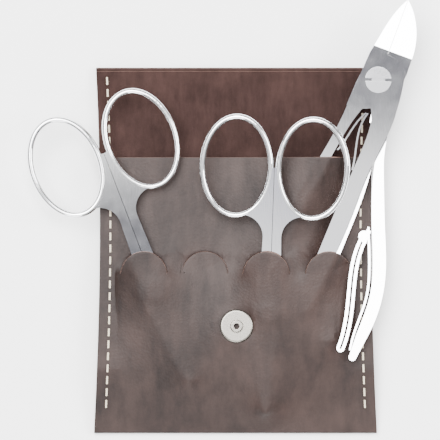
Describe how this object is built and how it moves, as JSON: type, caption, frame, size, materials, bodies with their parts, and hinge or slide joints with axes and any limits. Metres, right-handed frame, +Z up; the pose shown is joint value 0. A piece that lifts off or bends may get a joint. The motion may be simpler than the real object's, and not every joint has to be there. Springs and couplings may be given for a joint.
{
  "type": "manicure set case",
  "caption": "Leather slot case with a snap flap, holding finger-ring scissors, a nail nipper and a cuticle nipper with a locking bow.",
  "frame": {"origin": "on the table, under the middle of the whole set's bounding box; the case lies on its back", "axes": "+X to the right of someone looking down on the case, +Y from the bottom fold to the flap's fold, +Z up from the table"},
  "size_m": [0.1166, 0.13, 0.0182],
  "materials": {
    "leather": "oiled brown grain side, suede inside",
    "thread": "cream waxed thread",
    "polished_steel": "mirror polish",
    "spring_steel": "fine brushed",
    "snap_nickel": "satin nickel plate"
  },
  "bodies": {
    "case": {"back_panel": "leather", "front_panel": "leather", "top_fold": "leather", "left_seam_thread": "thread", "right_seam_thread": "thread", "snap_stud": "snap_nickel", "snap_post": "snap_nickel"},
    "flap": {"flap_leather": "leather", "snap_cap": "snap_nickel", "snap_socket": "snap_nickel", "socket_spring": "spring_steel"},
    "left_scissors": {"left_scissors_right_half": "polished_steel", "left_scissors_screw": "polished_steel"},
    "left_scissors_lower": {"left_scissors_left_half": "polished_steel"},
    "centre_scissors": {"centre_scissors_right_half": "polished_steel", "centre_scissors_screw": "polished_steel"},
    "centre_scissors_lower": {"centre_scissors_left_half": "polished_steel"},
    "nail_nipper": {"nail_nipper_front_half": "polished_steel", "nail_nipper_screw": "polished_steel", "nail_nipper_front_spring": "spring_steel"},
    "nail_nipper_lower": {"nail_nipper_back_half": "polished_steel", "nail_nipper_back_spring": "spring_steel"},
    "cuticle_nipper": {"cuticle_nipper_inner_half": "polished_steel", "cuticle_nipper_screw": "polished_steel"},
    "cuticle_nipper_upper": {"cuticle_nipper_outer_half": "polished_steel", "clasp_strip": "polished_steel", "clasp_rivet": "polished_steel"},
    "clasp": {"clasp_bow": "polished_steel"}
  },
  "joints": [
    {"name": "flap_fold", "type": "hinge", "parent": "case", "child": "flap", "pos_m": [0, 0.04404, 0.0012], "axis": [1, 0, 0], "range_deg": [0, 177], "deforming": ["top_fold"]},
    {"name": "left_scissors_draw", "type": "slide", "parent": "case", "child": "left_scissors", "axis": [-0.3556, 0.9337, 0.0419], "range_m": [0, 0.05], "deforming": ["front_panel"]},
    {"name": "left_scissors_pivot", "type": "hinge", "parent": "left_scissors", "child": "left_scissors_lower", "pos_m": [-0.01974, -0.02126, 0.0072], "axis": [0.0149, -0.0391, 0.9991], "range_deg": [0, 20], "deforming": ["front_panel"]},
    {"name": "centre_scissors_draw", "type": "slide", "parent": "case", "child": "centre_scissors", "axis": [0.0329, 0.992, 0.1219], "range_m": [0, 0.055], "deforming": ["front_panel"]},
    {"name": "centre_scissors_pivot", "type": "hinge", "parent": "centre_scissors", "child": "centre_scissors_lower", "pos_m": [0.01446, -0.02816, 0.009], "axis": [-0.0737, -0.1192, 0.9901], "range_deg": [0, 20], "deforming": ["front_panel"]},
    {"name": "nail_nipper_draw", "type": "slide", "parent": "case", "child": "nail_nipper", "axis": [0.3494, 0.9344, 0.0689], "range_m": [0, 0.05], "deforming": ["front_panel"]},
    {"name": "nail_nipper_pivot", "type": "hinge", "parent": "nail_nipper", "child": "nail_nipper_lower", "pos_m": [0.04686, 0.04129, 0.01275], "axis": [0.0241, 0.0645, -0.9976], "range_deg": [0, 14], "stiffness_Nm_per_rad": 0.01, "deforming": ["front_panel", "nail_nipper_front_spring", "nail_nipper_back_spring"]},
    {"name": "cuticle_nipper_draw", "type": "slide", "parent": "case", "child": "cuticle_nipper", "axis": [0.1805, 0.9833, -0.0244], "range_m": [0, 0.045], "deforming": ["front_panel"]},
    {"name": "cuticle_nipper_pivot", "type": "hinge", "parent": "cuticle_nipper", "child": "cuticle_nipper_upper", "pos_m": [0.04881, 0.03289, 0.00615], "axis": [-0.0471, 0.0334, 0.9983], "range_deg": [0, 18], "deforming": ["front_panel"]},
    {"name": "clasp_pivot", "type": "hinge", "parent": "cuticle_nipper_upper", "child": "clasp", "pos_m": [0.04277, -0.00554, 0.00715], "axis": [0.0471, -0.0334, -0.9983], "range_deg": [0, 3.2], "deforming": ["front_panel"]}
  ]
}
